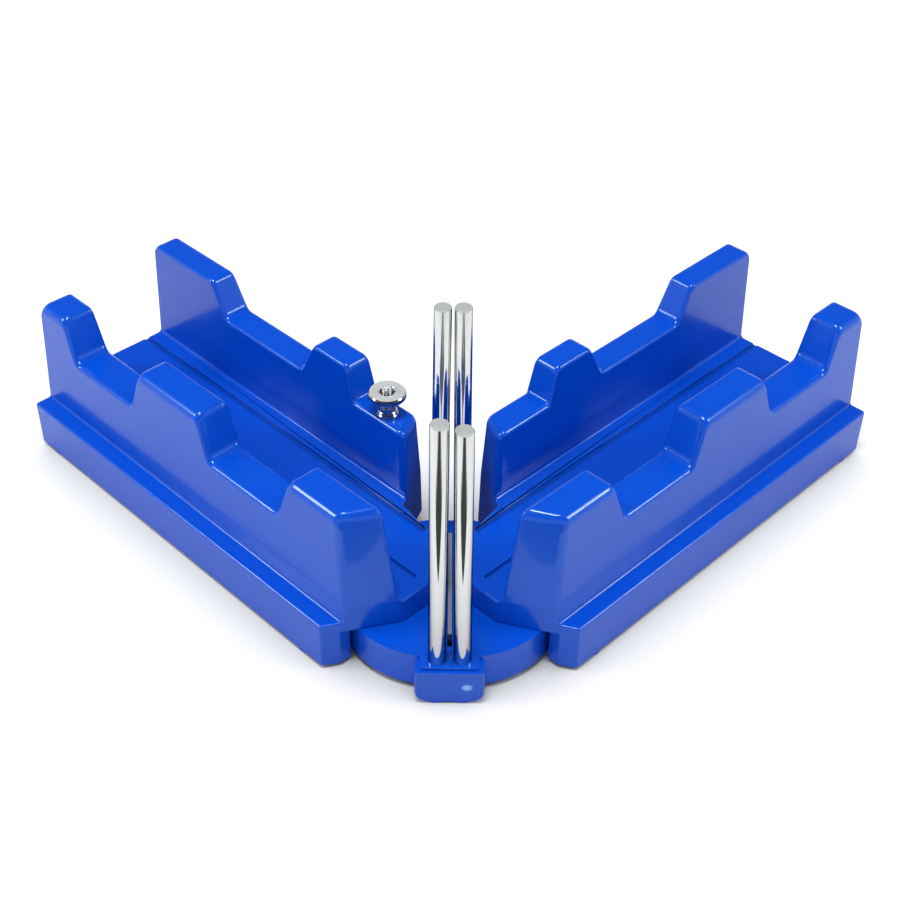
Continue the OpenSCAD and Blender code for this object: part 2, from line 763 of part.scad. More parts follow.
module lock_washer() {
  color(steel) left_place() translate([bolt_u, -bolt_v, rear_step_h + face_gap])
    ring(lock_washer_d, bolt_d + 2 * fit_gap, lock_washer_t);
}

// Thumb nut: neck, cone and rim, dished round the bolt
module thumb_nut() {
  r = nut_d / 2;
  neck = nut_neck_d / 2;
  bore = bolt_d / 2 + run_gap;
  neck_share = 0.3;
  cone_share = 0.62;
  chamfer = nut_d / 30;
  dish = nut_d / 8;
  color(steel) left_place() translate([bolt_u, -bolt_v, nut_bottom])
    rotate_extrude() polygon([[bore, 0], [neck, 0], [neck, nut_h * neck_share],
      [r - chamfer, nut_h * cone_share], [r, nut_h * cone_share + chamfer], [r, nut_h - chamfer],
      [r - chamfer, nut_h], [bore + dish, nut_h], [bore, nut_h - dish]]);
}

base_disc();
left_wing();
right_wing();
front_left_pin();
front_right_pin();
rear_left_pin();
rear_right_pin();
left_gear();
right_gear();
left_wear_washer();
right_wear_washer();
left_pivot_washer();
right_pivot_washer();
left_pivot_screw();
right_pivot_screw();
lock_bolt();
clamp_washer();
lock_washer();
thumb_nut();
slot_plate();
plate_screws();
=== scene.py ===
"""Adjustable mitre box: the looks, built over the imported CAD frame, in metres and in the frame's own axes."""

import json
import math

import bmesh
import bpy
from bpy.props import FloatProperty, FloatVectorProperty, IntProperty, PointerProperty
from bpy.types import Operator, Panel, PropertyGroup
from mathutils import Matrix, Vector
from mathutils.bvhtree import BVHTree


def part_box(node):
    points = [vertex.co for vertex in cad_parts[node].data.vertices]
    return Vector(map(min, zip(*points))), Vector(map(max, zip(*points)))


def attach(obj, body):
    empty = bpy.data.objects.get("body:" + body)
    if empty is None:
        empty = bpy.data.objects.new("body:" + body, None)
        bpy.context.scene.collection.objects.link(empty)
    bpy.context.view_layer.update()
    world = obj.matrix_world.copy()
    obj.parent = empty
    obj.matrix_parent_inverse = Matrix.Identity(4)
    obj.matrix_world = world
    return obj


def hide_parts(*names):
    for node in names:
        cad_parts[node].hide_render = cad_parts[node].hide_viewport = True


bl_info = {
    "name": "Adjustable mitre box",
    "version": (1, 0, 0),
    "blender": (4, 5, 0),
    "location": "View3D > Sidebar > Mitre box",
    "description": "Dresses the mitre box's frame: moulded wings and disc, steel pins, lock and gears",
    "category": "Object",
}

MM = 0.001
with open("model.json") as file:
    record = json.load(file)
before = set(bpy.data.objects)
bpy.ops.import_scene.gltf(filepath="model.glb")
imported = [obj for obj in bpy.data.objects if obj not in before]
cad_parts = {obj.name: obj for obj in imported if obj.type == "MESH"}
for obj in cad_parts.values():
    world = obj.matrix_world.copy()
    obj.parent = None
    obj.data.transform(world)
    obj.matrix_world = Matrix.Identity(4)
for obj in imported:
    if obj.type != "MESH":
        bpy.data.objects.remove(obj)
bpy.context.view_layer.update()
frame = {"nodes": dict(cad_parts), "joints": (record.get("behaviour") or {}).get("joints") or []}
nodes = frame["nodes"]
joints = {j["name"]: j for j in frame["joints"]}
PIVOT = Vector(joints["left_wing_swing"]["pos_m"])
BOLT = Vector(joints["thumb_nut_turn"]["pos_m"])

# A wing has its own frame, in millimetres: u runs along it from the pivot, at WING_TURN degrees from +X for
# the left wing, v is positive on the front wall's side, and z is up. The walls are run along their outlines
# from WALL_FOOT up. END_R rounds their ends, and a point at SUPPORT from each rounding keeps the flats flat.
WING_TURN = 135
FLOOR = 34.2
WALL_FOOT = 37.15
END_R = 1.0
SUPPORT = 0.2
FRONT_OUTLINE = (
    (0, 85.2, 5), (45.4, 85.2, 4), (52.9, 62, 5), (103.3, 62, 5), (110.8, 85.2, 4), (156.6, 85.2, 4),
    (164.1, 62, 5), (212.4, 62, 5), (219.9, 85.2, 4), (242.5, 85.2, 5),
)
REAR_OUTLINE = (
    (0, 71, 5), (82, 71, 2), (86.5, 90.2, 4), (110.5, 90.2, 4), (120, 71, 5), (181, 71, 5),
    (190.5, 90.2, 4), (242.5, 90.2, 5),
)
# A wall: side, inner and outer face at the floor, side outline as (along, height, radius), height of its
# steps and towers, section radii (inner, step, tower), near end face as (along, across, slant, lean), the
# length over which its slant runs out, where that ends, and radii of the near end's corners (inner, outer)
WALLS = (
    (1, 27.2, 49.1, FRONT_OUTLINE, 62, 85.2, (2.5, 3, 5.5), (-5.6, 25.8, 0.582, 0.1318), 38, 36, (2, 4)),
    (-1, 23.3, 42.0, REAR_OUTLINE, 71, 90.2, (2.5, 2.5, 2.5), (42, 19.5, 0.4727, 0.0522), 30, 78, (5, 2)),
)
# Drafts of the walls' faces and of their far end, the length over which that end's lean runs out, and the
# height above the floor from which both ends lean
INNER_DRAFT = math.tan(math.radians(1.7))
OUTER_DRAFT = math.tan(math.radians(2.9))
END_DRAFT = math.tan(math.radians(2.3))
END_LEAN = 12
LEAN_BASE = 0.3

# Bevels of a wing: share of the full width on a groove, on an upright edge near the pivot and elsewhere, and
# what counts as near. The boss's edges are rounder above its foot only.
GROOVE_SHARE, UPRIGHT_SHARE, EDGE_SHARE = 0.2, 1.0, 0.6
NEAR_PIVOT = 0.04
BOSS_FOOT = 0.012

# The front pins' boss begins at this distance before the pivots' line, and the steel strip in the slot runs
# from before to behind that line, a little below the disc's top
BOSS_BACK = 0.0385
STRIP_FRONT, STRIP_REAR, STRIP_WIDTH, STRIP_DROP = 29.2 * MM, 38.3 * MM, 1.8 * MM, 0.5 * MM

# The gate mark on the front boss, with a painted pale reflection: middle across and up, radii along X, Y
# and Z, colour, its share in the middle, and between which shares of the radii it fades
MARK_X, MARK_Z = 0.0078, 0.0102
MARK_RADII = (0.0026, 0.004, 0.0021)
MARK_PAINTED_REFLECTION = (0.25, 0.55, 0.9, 1.0)
MARK_SHARE, MARK_EDGE = 0.85, (0.55, 1.1)

# The M5 lock bolt
BOLT_R = 2.5 * MM
BOLT_HEAD = 2.4 * MM

# Stage: the floor's half side and how far it lies below the feet, and the colours of its paper and of the sky
FLOOR_HALF, FLOOR_DROP = 20.0, 0.0001
PAPER = (0.82, 0.82, 0.82, 1.0)
SKY = (0.9, 0.95, 1.0, 1.0)
# Soft lamps: name, size, power at level 1, place and what it points at
LAMPS = (
    ("top_lamp", (0.42, 0.3), 15, (-0.1, -0.3, 1.5), (0, 0, 0)),
    ("left_lamp", (0.3, 0.4), 7, (-1.3, -0.1, 0.85), (0, 0, 0.03)),
    ("right_lamp", (0.3, 0.4), 6, (1.3, -0.1, 0.85), (0, 0, 0.03)),
)
# Dark cards on the floor: name, corners about the pivots' line, grey, and between which distances from the
# middle the card fades out sideways
CARD_HEIGHT = 0.0004
CARDS = (
    ("front_card", ((-0.17, -1.1), (0.17, -1.1), (0.17, -0.26), (0.0, -0.115), (-0.17, -0.26)),
     0.03, (0.07, 0.19)),
    ("rear_card", ((0.0, 0.0), (0.17, 0.17), (-0.17, 0.17)), 0.04, None),
)
# The camera, solved from edges of the photo: focal length and frame in pixels, sensor in millimetres, yaw,
# pitch and roll in degrees, and place in millimetres about the pivots' line
FOCAL_PX, FRAME_PX, SENSOR = 1476.41, 900, 36.0
CAMERA_TURN = (0.29, -39.14, -0.76)
CAMERA_AT = (-3.33, -491.05, 503.14)


class PlasticLook(PropertyGroup):
    """The blue moulding."""

    colour: FloatVectorProperty(
        name="Colour", description="Colour of the moulded plastic", subtype="COLOR", size=3,
        default=(0.0, 0.064, 0.54))
    roughness: FloatProperty(
        name="Roughness", description="Roughness of the moulded skin", subtype="FACTOR",
        default=0.24, min=0.0, max=1.0)
    skin: FloatProperty(
        name="Skin", description="Share of the clear glossy skin", subtype="FACTOR",
        default=0.35, min=0.0, max=1.0)
    edge: FloatProperty(
        name="Edge radius", description="Radius of the disc's sharpest edges", unit="LENGTH",
        default=0.6 * MM)
    boss_edge: FloatProperty(
        name="Boss edge radius", description="Radius of the edges round the front pins' boss", unit="LENGTH",
        default=1.2 * MM)


class SteelLook(PropertyGroup):
    """The guide pins."""

    colour: FloatVectorProperty(
        name="Colour", description="Colour of the polished rod", subtype="COLOR", size=3,
        default=(0.75, 0.755, 0.735))
    roughness: FloatProperty(
        name="Roughness", description="Roughness of the polished rod", subtype="FACTOR",
        default=0.06, min=0.0, max=1.0)
    chamfer: FloatProperty(
        name="Pin chamfer", description="Chamfer at a pin's ends", unit="LENGTH", default=0.7 * MM)


class LockLook(PropertyGroup):
    """The thumb nut and its bolt."""

    knurls: IntProperty(
        name="Knurls", description="Ridges round the thumb nut's rim", default=72, min=12)
    knurl: FloatProperty(
        name="Knurl depth", description="Height of a ridge on the rim", unit="LENGTH", default=0.22 * MM)
    pitch: FloatProperty(
        name="Thread pitch", description="Pitch of the bolt's thread", unit="LENGTH", default=0.8 * MM)


class StageLook(PropertyGroup):
    """Lamps and surroundings."""

    lamp: FloatProperty(
        name="Lamp level", description="Level of the soft lamps", default=1.0, min=0.0)
    world: FloatProperty(
        name="World level", description="Level of the surrounding light", default=0.5, min=0.0)
    mirrored: FloatProperty(
        name="Mirrored level", description="Level of the sky above the horizon, as gloss mirrors it",
        default=0.05, min=0.0)


def link(obj):
    """obj, put in the scene."""
    bpy.context.scene.collection.objects.link(obj)
    return obj


def new_object(name, bm, material, smooth=None):
    """A mesh object from a bmesh, flat or shaded smooth below the given angle."""
    mesh = bpy.data.meshes.new(name)
    bm.to_mesh(mesh)
    bm.free()
    mesh.materials.append(material)
    obj = link(bpy.data.objects.new(name, mesh))
    if smooth:
        mesh.shade_smooth()
        mesh.set_sharp_from_angle(angle=math.radians(smooth))
    return obj


def merged_copy(node, cuts=()):
    """A bmesh of a CAD node with its flat faces made whole.

    A face can't go round a hole, so it is left cut at each x in cuts.
    """
    bm = bmesh.new()
    bm.from_mesh(nodes[node].data)
    bmesh.ops.remove_doubles(bm, verts=bm.verts, dist=2e-6)
    bmesh.ops.dissolve_degenerate(bm, edges=bm.edges, dist=1e-6)
    for x in cuts:
        parts = list(bm.verts) + list(bm.edges) + list(bm.faces)
        cut = bmesh.ops.bisect_plane(bm, geom=parts, dist=1e-6, plane_co=(x, 0, 0), plane_no=(1, 0, 0))
        for e in cut["geom_cut"]:
            if isinstance(e, bmesh.types.BMEdge):
                e.seam = True
    flat = math.radians(0.4)
    bmesh.ops.dissolve_limit(bm, angle_limit=flat, verts=bm.verts, edges=bm.edges, delimit={"SEAM"})
    return bm


def baked(obj):
    """obj with its modifiers applied."""
    depsgraph = bpy.context.evaluated_depsgraph_get()
    mesh = bpy.data.meshes.new_from_object(obj.evaluated_get(depsgraph))
    old = obj.data
    obj.modifiers.clear()
    obj.data = mesh
    bpy.data.meshes.remove(old)
    return obj


def bevel(obj, width, segments, limit, weights=False, clamp=True):
    """Rounds the edges that are sharper than limit, or as their weights say."""
    mod = obj.modifiers.new("edges", "BEVEL")
    mod.width = width
    mod.segments = segments
    mod.limit_method = "WEIGHT" if weights else "ANGLE"
    mod.angle_limit = math.radians(limit)
    mod.harden_normals = False
    mod.use_clamp_overlap = clamp
    mod.miter_outer = "MITER_ARC"


def finish_piece(obj, body, node):
    """Lets obj ride on a body, in place of a CAD node."""
    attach(obj, body)
    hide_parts(node)


def lathe(name, profile, material, place, segments=96, smooth=35.0):
    """A turned piece: profile holds (radius, height) pairs, from axis to axis or right round a bore."""
    bm = bmesh.new()
    turns = [2 * math.pi * k / segments for k in range(segments)]
    rings = []
    for r, z in profile:
        if r < 1e-7:
            rings.append([bm.verts.new(place @ Vector((0, 0, z)))])
        else:
            rings.append([bm.verts.new(place @ Vector((r * math.cos(a), r * math.sin(a), z))) for a in turns])
    for low, high in zip(rings, rings[1:]):
        for k in range(segments):
            n = (k + 1) % segments
            if len(low) == 1 and len(high) == 1:
                continue
            if len(low) == 1:
                bm.faces.new((low[0], high[n], high[k]))
            elif len(high) == 1:
                bm.faces.new((low[k], low[n], high[0]))
            else:
                bm.faces.new((low[k], low[n], high[n], high[k]))
    if len(rings[0]) > 1:
        low, high = rings[-1], rings[0]
        for k in range(segments):
            n = (k + 1) % segments
            bm.faces.new((low[k], low[n], high[n], high[k]))
    bmesh.ops.recalc_face_normals(bm, faces=bm.faces)
    return new_object(name, bm, material, smooth)


def shader_tree(name):
    """A new material, its node tree and its Principled shader."""
    mat = bpy.data.materials.new(name)
    mat.use_nodes = True
    tree = mat.node_tree
    return mat, tree, tree.nodes["Principled BSDF"]


def mapped(tree, source, socket, start, end):
    """Maps the range start on the range end, on an output of a source node."""
    node = tree.nodes.new("ShaderNodeMapRange")
    node.inputs["From Min"].default_value, node.inputs["From Max"].default_value = start
    node.inputs["To Min"].default_value, node.inputs["To Max"].default_value = end
    tree.links.new(source.outputs[socket], node.inputs["Value"])
    return node


def add_bump(tree, bsdf, scale, strength, distance, detail=2.0):
    """Fine waviness; the coordinates that it reads are returned."""
    coord = tree.nodes.new("ShaderNodeTexCoord")
    noise = tree.nodes.new("ShaderNodeTexNoise")
    noise.inputs["Scale"].default_value = scale
    noise.inputs["Detail"].default_value = detail
    bump = tree.nodes.new("ShaderNodeBump")
    bump.inputs["Strength"].default_value = strength
    bump.inputs["Distance"].default_value = distance
    tree.links.new(coord.outputs["Object"], noise.inputs["Vector"])
    tree.links.new(noise.outputs["Fac"], bump.inputs["Height"])
    tree.links.new(bump.outputs["Normal"], bsdf.inputs["Normal"])
    return coord


def vary_roughness(tree, bsdf, coord, scale, low, high):
    """Roughness that wanders between low and high."""
    noise = tree.nodes.new("ShaderNodeTexNoise")
    noise.inputs["Scale"].default_value = scale
    noise.inputs["Detail"].default_value = 4.0
    tree.links.new(coord.outputs["Object"], noise.inputs["Vector"])
    level = mapped(tree, noise, "Fac", (0.0, 1.0), (low, high))
    tree.links.new(level.outputs["Result"], bsdf.inputs["Roughness"])


def blue_plastic(name, shade=1.0, mark=None):
    """The moulded blue under a thin clear skin; shade below 1 is painted shade, and a gate mark (centre, radii)
    gets a painted pale reflection.
    """
    look = bpy.context.scene.mitre_plastic
    mat, tree, bsdf = shader_tree(name)
    coord = add_bump(tree, bsdf, scale=60.0, strength=0.05, distance=0.0004)
    vary_roughness(tree, bsdf, coord, 220.0, look.roughness * 0.8, look.roughness * 1.25)
    tint = tree.nodes.new("ShaderNodeTexNoise")
    tint.inputs["Scale"].default_value = 25.0
    mix = tree.nodes.new("ShaderNodeMix")
    mix.data_type = "RGBA"
    mix.inputs["A"].default_value = (*[c * 0.96 * shade for c in look.colour], 1.0)
    mix.inputs["B"].default_value = (*[c * 1.04 * shade for c in look.colour], 1.0)
    tree.links.new(coord.outputs["Object"], tint.inputs["Vector"])
    tree.links.new(tint.outputs["Fac"], mix.inputs["Factor"])
    colour = mix.outputs["Result"]
    if mark:
        spot = tree.nodes.new("ShaderNodeMapping")
        spot.vector_type = "TEXTURE"
        spot.inputs["Location"].default_value = mark[0]
        spot.inputs["Scale"].default_value = mark[1]
        away = tree.nodes.new("ShaderNodeVectorMath")
        away.operation = "LENGTH"
        fade = mapped(tree, away, "Value", MARK_EDGE, (MARK_SHARE, 0.0))
        pale = tree.nodes.new("ShaderNodeMix")
        pale.data_type = "RGBA"
        pale.inputs["B"].default_value = MARK_PAINTED_REFLECTION
        tree.links.new(coord.outputs["Object"], spot.inputs["Vector"])
        tree.links.new(spot.outputs["Vector"], away.inputs[0])
        tree.links.new(fade.outputs["Result"], pale.inputs["Factor"])
        tree.links.new(colour, pale.inputs["A"])
        colour = pale.outputs["Result"]
    tree.links.new(colour, bsdf.inputs["Base Color"])
    bsdf.inputs["IOR"].default_value = 1.45
    bsdf.inputs["Specular Tint"].default_value = (0.62, 1.0, 1.0, 1.0)
    bsdf.inputs["Coat Weight"].default_value = look.skin
    bsdf.inputs["Coat Roughness"].default_value = 0.05
    return mat


def polished_steel():
    """The drawn and polished rod of the pins."""
    look = bpy.context.scene.mitre_steel
    mat, tree, bsdf = shader_tree("polished_steel")
    bsdf.inputs["Base Color"].default_value = (*look.colour, 1.0)
    bsdf.inputs["Metallic"].default_value = 1.0
    bsdf.inputs["Specular Tint"].default_value = (0.25, 0.27, 0.3, 1.0)
    coord = add_bump(tree, bsdf, scale=900.0, strength=0.02, distance=0.0001)
    vary_roughness(tree, bsdf, coord, 400.0, look.roughness * 0.7, look.roughness * 1.5)
    return mat


def sawn_steel():
    """The flat, dull ends of the pins."""
    mat, tree, bsdf = shader_tree("sawn_steel")
    bsdf.inputs["Base Color"].default_value = (0.5, 0.52, 0.5, 1.0)
    bsdf.inputs["Metallic"].default_value = 0.4
    coord = add_bump(tree, bsdf, scale=2500.0, strength=0.25, distance=0.0001, detail=4.0)
    vary_roughness(tree, bsdf, coord, 1500.0, 0.38, 0.55)
    return mat


def plated_steel(name, colour, rough, metal=1.0):
    """A plated or brushed steel; less metal makes it duller."""
    mat, tree, bsdf = shader_tree(name)
    bsdf.inputs["Base Color"].default_value = (*colour, 1.0)
    bsdf.inputs["Metallic"].default_value = metal
    coord = add_bump(tree, bsdf, scale=1400.0, strength=0.08, distance=0.0001, detail=3.0)
    vary_roughness(tree, bsdf, coord, 700.0, rough * 0.75, rough * 1.4)
    return mat


def plain_plastic(name, colour, rough):
    """An unpainted moulding, such as a gear or a slip washer."""
    mat, tree, bsdf = shader_tree(name)
    bsdf.inputs["Base Color"].default_value = (*colour, 1.0)
    coord = add_bump(tree, bsdf, scale=900.0, strength=0.1, distance=0.0001, detail=3.0)
    vary_roughness(tree, bsdf, coord, 600.0, rough * 0.8, rough * 1.2)
    return mat


def moulded(name, node, body, material, round_before):
    """A moulding from its CAD node, with sharp edges eased, and rounder ones on the boss before a given y."""
    look = bpy.context.scene.mitre_plastic
    bm = merged_copy(node, (0, PIVOT.x, -PIVOT.x))
    weight = bm.edges.layers.float.new("bevel_weight_edge")
    for e in bm.edges:
        if len(e.link_faces) == 2 and e.is_convex and e.calc_face_angle(0.0) > math.radians(38):
            if all(v.co.y < round_before and v.co.z > BOSS_FOOT for v in e.verts):
                e[weight] = 1.0
    obj = new_object(name, bm, bpy.data.materials[material])
    bevel(obj, look.boss_edge, segments=4, limit=38, weights=True)
    bevel(obj, look.edge, segments=2, limit=32)
    finish_piece(weighted_normals(baked(obj)), body, node)


def fillet(a, b, c, radius, steps):
    """Arc that rounds corner b between a and c, in the plane, with a support point close to each end."""
    a, b, c = Vector(a), Vector(b), Vector(c)
    p, q = (a - b).normalized(), (c - b).normalized()
    half = p.angle(q) / 2
    middle = b + (p + q).normalized() * (radius / math.sin(half))
    start, end = b + p * (radius / math.tan(half)), b + q * (radius / math.tan(half))
    arm = start - middle
    sweep = arm.angle(end - middle) * (1 if arm.cross(end - middle) > 0 else -1)
    arc = [middle + Matrix.Rotation(sweep * k / steps, 2) @ arm for k in range(steps + 1)]
    return [start + p * SUPPORT] + arc + [end + q * SUPPORT]


class Wall:
    """One castellated wall of a wing, in the wing's frame: its section runs along its side outline."""

    def __init__(self, side, inner, outer, outline, step, top, radii, near, near_zone, near_u, near_radii):
        self.side, self.inner, self.outer = side, inner, outer
        self.step, self.top, self.radii = step, top, radii
        self.near, self.near_zone, self.near_u, self.near_radii = near, near_zone, near_u, near_radii
        # Stations count from the near end face, and an outline counts along u
        outline = [(x if x < 0.1 else x - near_u + near_zone, z, r) for x, z, r in outline]
        self.length = outline[-1][0]
        points = [(0.0, WALL_FOOT, 0.0), *outline, (self.length, WALL_FOOT, 0.0)]
        self.stations = []
        for a, b, c in zip(points, points[1:], points[2:]):
            self.stations += fillet(a[:2], b[:2], c[:2], b[2], 9)

    def inside(self, z, foot, top, share):
        """The inner face at a height, where it is narrowed by foot below and by top above."""
        return self.inner + (z - FLOOR) * INNER_DRAFT + foot + (top - foot) * share

    def outside(self, z, foot, top, share):
        """The outer face at a height, narrowed in the same way."""
        return self.outer - (z - FLOOR) * OUTER_DRAFT - foot - (top - foot) * share

    def section(self, height, narrowed, at_top):
        """Open below: up the inner face, over the top and down the outer face."""
        rise = min(1.0, max(0.0, (height - self.step) / (self.top - self.step)))
        outer_r = self.radii[1] + (self.radii[2] - self.radii[1]) * rise
        a = (self.inside(WALL_FOOT, narrowed, at_top[0], 0.0), WALL_FOOT)
        b = (self.inside(height, narrowed, at_top[0], 1.0), height)
        c = (self.outside(height, narrowed, at_top[1], 1.0), height)
        d = (self.outside(WALL_FOOT, narrowed, at_top[1], 0.0), WALL_FOOT)
        return [Vector(a)] + fillet(a, b, c, self.radii[0], 7) + fillet(b, c, d, outer_r, 9) + [Vector(d)]

    @staticmethod
    def rounded(distance, radius):
        """How far a face draws back at a distance from an end that is rounded."""
        if distance >= radius:
            return 0.0
        return radius - math.sqrt(max(0.0, radius ** 2 - (radius - distance) ** 2))

    def mesh(self, bm, place):
        """Adds the wall's skin: a ring at each station of the outline, and a cap at each end."""
        rings = []
        for i, (s, height) in enumerate(self.stations):
            more = SUPPORT if i in (0, len(self.stations) - 1) else 0.0
            narrowed = self.rounded(min(s, self.length - s), END_R) + more
            at_top = [self.rounded(s, r) + more if s < r else narrowed for r in self.near_radii]
            ring = []
            for v, z in self.section(height, narrowed, at_top):
                up = z - FLOOR - LEAN_BASE
                if s < self.near_zone:
                    face = self.near[0] + (v - self.near[1]) * self.near[2] + up * self.near[3]
                    u = face + s + s / self.near_zone * (self.near_u - self.near_zone - face)
                else:
                    u = self.near_u + s - self.near_zone
                lean = max(0.0, 1 - (self.length - s) / END_LEAN)
                u -= lean * up * END_DRAFT
                ring.append(bm.verts.new(place @ Vector((u, self.side * v, z))))
            rings.append(ring)
        faces = []
        for near, far in zip(rings, rings[1:]):
            faces += [bm.faces.new((near[k], near[k + 1], far[k + 1], far[k])) for k in range(len(near) - 1)]
        faces += [bm.faces.new(rings[0]), bm.faces.new(list(reversed(rings[-1])))]
        bm.normal_update()
        top = max(faces, key=lambda f: f.calc_center_median().z)
        if top.normal.z < 0:
            bmesh.ops.reverse_faces(bm, faces=faces)


def is_groove(face):
    """Whether a face is a side or the bottom of a groove in the trough's floor."""
    low, high = min(v.co.z for v in face.verts), max(v.co.z for v in face.verts)
    return (FLOOR - 1.1) * MM < low < (FLOOR - 0.5) * MM and high < (FLOOR + 0.1) * MM


def is_upright_by_pivot(edge):
    """Whether an edge stands upright close to the pivot, where the hub is."""
    a, b = edge.verts
    return abs(a.co.z - b.co.z) > 0.99 * edge.calc_length() and (a.co.xy - PIVOT.xy).length < NEAR_PIVOT


def wing_base(name, node):
    """The wing's CAD moulding without the outsides of its walls; its outer edges are eased."""
    bm = bmesh.new()
    bm.from_mesh(nodes[node].data)
    marks = bm.faces.layers.int.new("outer")
    weight = bm.edges.layers.float.new("bevel_weight_edge")
    bmesh.ops.remove_doubles(bm, verts=bm.verts, dist=2e-6)
    cut = (WALL_FOOT + 0.05) * MM
    parts = list(bm.verts) + list(bm.edges) + list(bm.faces)
    bmesh.ops.bisect_plane(bm, geom=parts, dist=1e-7, plane_co=(0, 0, cut), plane_no=(0, 0, 1))
    bmesh.ops.triangulate(bm, faces=bm.faces)
    bm.normal_update()
    tree = BVHTree.FromBMesh(bm)
    # A face is on the outside if it doesn't look down and nothing lies above it
    outer = set()
    for f in bm.faces:
        start = f.calc_center_median() + f.normal * 2e-5
        if f.normal.z > -0.02 and tree.ray_cast(start, Vector((0, 0, 1)))[0] is None:
            outer.add(f)
    gone = [f for f in outer if f.calc_center_median().z > cut]
    for f in outer:
        f[marks] = 1
    bmesh.ops.delete(bm, geom=gone, context="FACES")
    bmesh.ops.dissolve_limit(bm, angle_limit=math.radians(0.3), verts=bm.verts, edges=bm.edges)
    # Groove faces take the darker blue: painted shade in the recesses.
    for f in bm.faces:
        if f[marks] and is_groove(f):
            f.material_index = 1
    for e in bm.edges:
        if len(e.link_faces) != 2 or not e.is_convex or e.calc_face_angle(0.0) < math.radians(28):
            continue
        at_floor = all(abs(v.co.z - FLOOR * MM) < 0.2 * MM for v in e.verts)
        if not at_floor and not all(f[marks] for f in e.link_faces):
            continue
        if any(f.material_index for f in e.link_faces):
            e[weight] = GROOVE_SHARE
        else:
            e[weight] = UPRIGHT_SHARE if is_upright_by_pivot(e) else EDGE_SHARE
    obj = new_object(name, bm, bpy.data.materials["blue_plastic"])
    obj.data.materials.append(bpy.data.materials["blue_groove"])
    bevel(obj, END_R / EDGE_SHARE * MM, segments=3, limit=30, weights=True, clamp=False)
    return baked(obj)


def weighted_normals(obj):
    """Flat faces keep their own normal, so they reflect as flats."""
    obj.data.shade_smooth()
    obj.data.set_sharp_from_angle(angle=math.radians(40))
    mod = obj.modifiers.new("normals", "WEIGHTED_NORMAL")
    mod.mode = "FACE_AREA"
    mod.weight = 80
    mod.keep_sharp = True
    return baked(obj)


def wing(name, node, body, flip):
    """A wing: its base from the CAD, with both walls run along their outlines."""
    turned = Matrix.Rotation(math.radians(WING_TURN), 4, "Z")
    place = Matrix.Translation((PIVOT.x, PIVOT.y, 0)) @ turned @ Matrix.Scale(MM, 4)
    if flip:
        place = Matrix.Scale(-1, 4, Vector((1, 0, 0))) @ place
    base = wing_base(name, node)
    bm = bmesh.new()
    bm.from_mesh(base.data)
    for args in WALLS:
        Wall(*args).mesh(bm, place)
    bm.to_mesh(base.data)
    bm.free()
    finish_piece(weighted_normals(base), body, node)


class MITRE_OT_materials(Operator):
    """Makes the finishes that the pieces share"""

    bl_idname = "mitre.materials"
    bl_label = "Materials"

    def execute(self, context):
        blue_plastic("blue_plastic")
        # The grooves' blue, darkened as painted shade.
        blue_plastic("blue_groove", 0.7)
        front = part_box("base_disc")[0].y
        # The disc's blue, with the gate mark's painted pale reflection on the front boss.
        blue_plastic("blue_disc", 1.0, ((MARK_X, front, MARK_Z), MARK_RADII))
        polished_steel()
        sawn_steel()
        plated_steel("nickel", (0.62, 0.61, 0.57), 0.16)
        plated_steel("zinc", (0.78, 0.79, 0.8), 0.2)
        plated_steel("brushed", (0.24, 0.27, 0.3), 0.45, 0.2)
        plated_steel("faced_nickel", (0.62, 0.64, 0.64), 0.42, 0.4)
        plain_plastic("acetal_black", (0.02, 0.02, 0.022), 0.4)
        plain_plastic("slip_white", (0.8, 0.8, 0.78), 0.35)
        return {"FINISHED"}


class MITRE_OT_wings(Operator):
    """Makes the two castellated trough wings"""

    bl_idname = "mitre.wings"
    bl_label = "Wings"

    def execute(self, context):
        wing("left_wing_moulding", "left_wing", "left_arm", False)
        wing("right_wing_moulding", "right_wing", "right_arm", True)
        return {"FINISHED"}


def slot_plate():
    """The plate under the slot with the steel strip that stands up into it, and its screws."""
    zinc = bpy.data.materials["zinc"]
    plate = new_object("slot_plate_cut", merged_copy("slot_plate", (PIVOT.x, -PIVOT.x)), zinc)
    bevel(plate, 0.15 * MM, segments=2, limit=40)
    finish_piece(weighted_normals(baked(plate)), "base", "slot_plate")
    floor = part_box("slot_plate")[1].z
    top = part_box("base_disc")[1].z
    front, rear = PIVOT.y - STRIP_FRONT, PIVOT.y + STRIP_REAR
    size = Vector((STRIP_WIDTH, rear - front, top - STRIP_DROP - floor))
    bm = bmesh.new()
    bmesh.ops.create_cube(bm, size=1.0)
    middle = Matrix.Translation((0, (front + rear) / 2, floor + size.z / 2))
    bm.transform(middle @ Matrix.Diagonal((*size, 1.0)))
    strip = new_object("slot_strip", bm, bpy.data.materials["brushed"])
    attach(strip, "base")
    screws = new_object("plate_screws_turned", merged_copy("plate_screws"), zinc)
    bevel(screws, 0.15 * MM, segments=2, limit=40)
    finish_piece(weighted_normals(baked(screws)), "base", "plate_screws")


class MITRE_OT_disc(Operator):
    """Makes the slotted disc with its pin bosses and lock quadrant"""

    bl_idname = "mitre.disc"
    bl_label = "Disc"

    def execute(self, context):
        moulded("base_disc_moulding", "base_disc", "base", "blue_disc", PIVOT.y - BOSS_BACK)
        slot_plate()
        return {"FINISHED"}


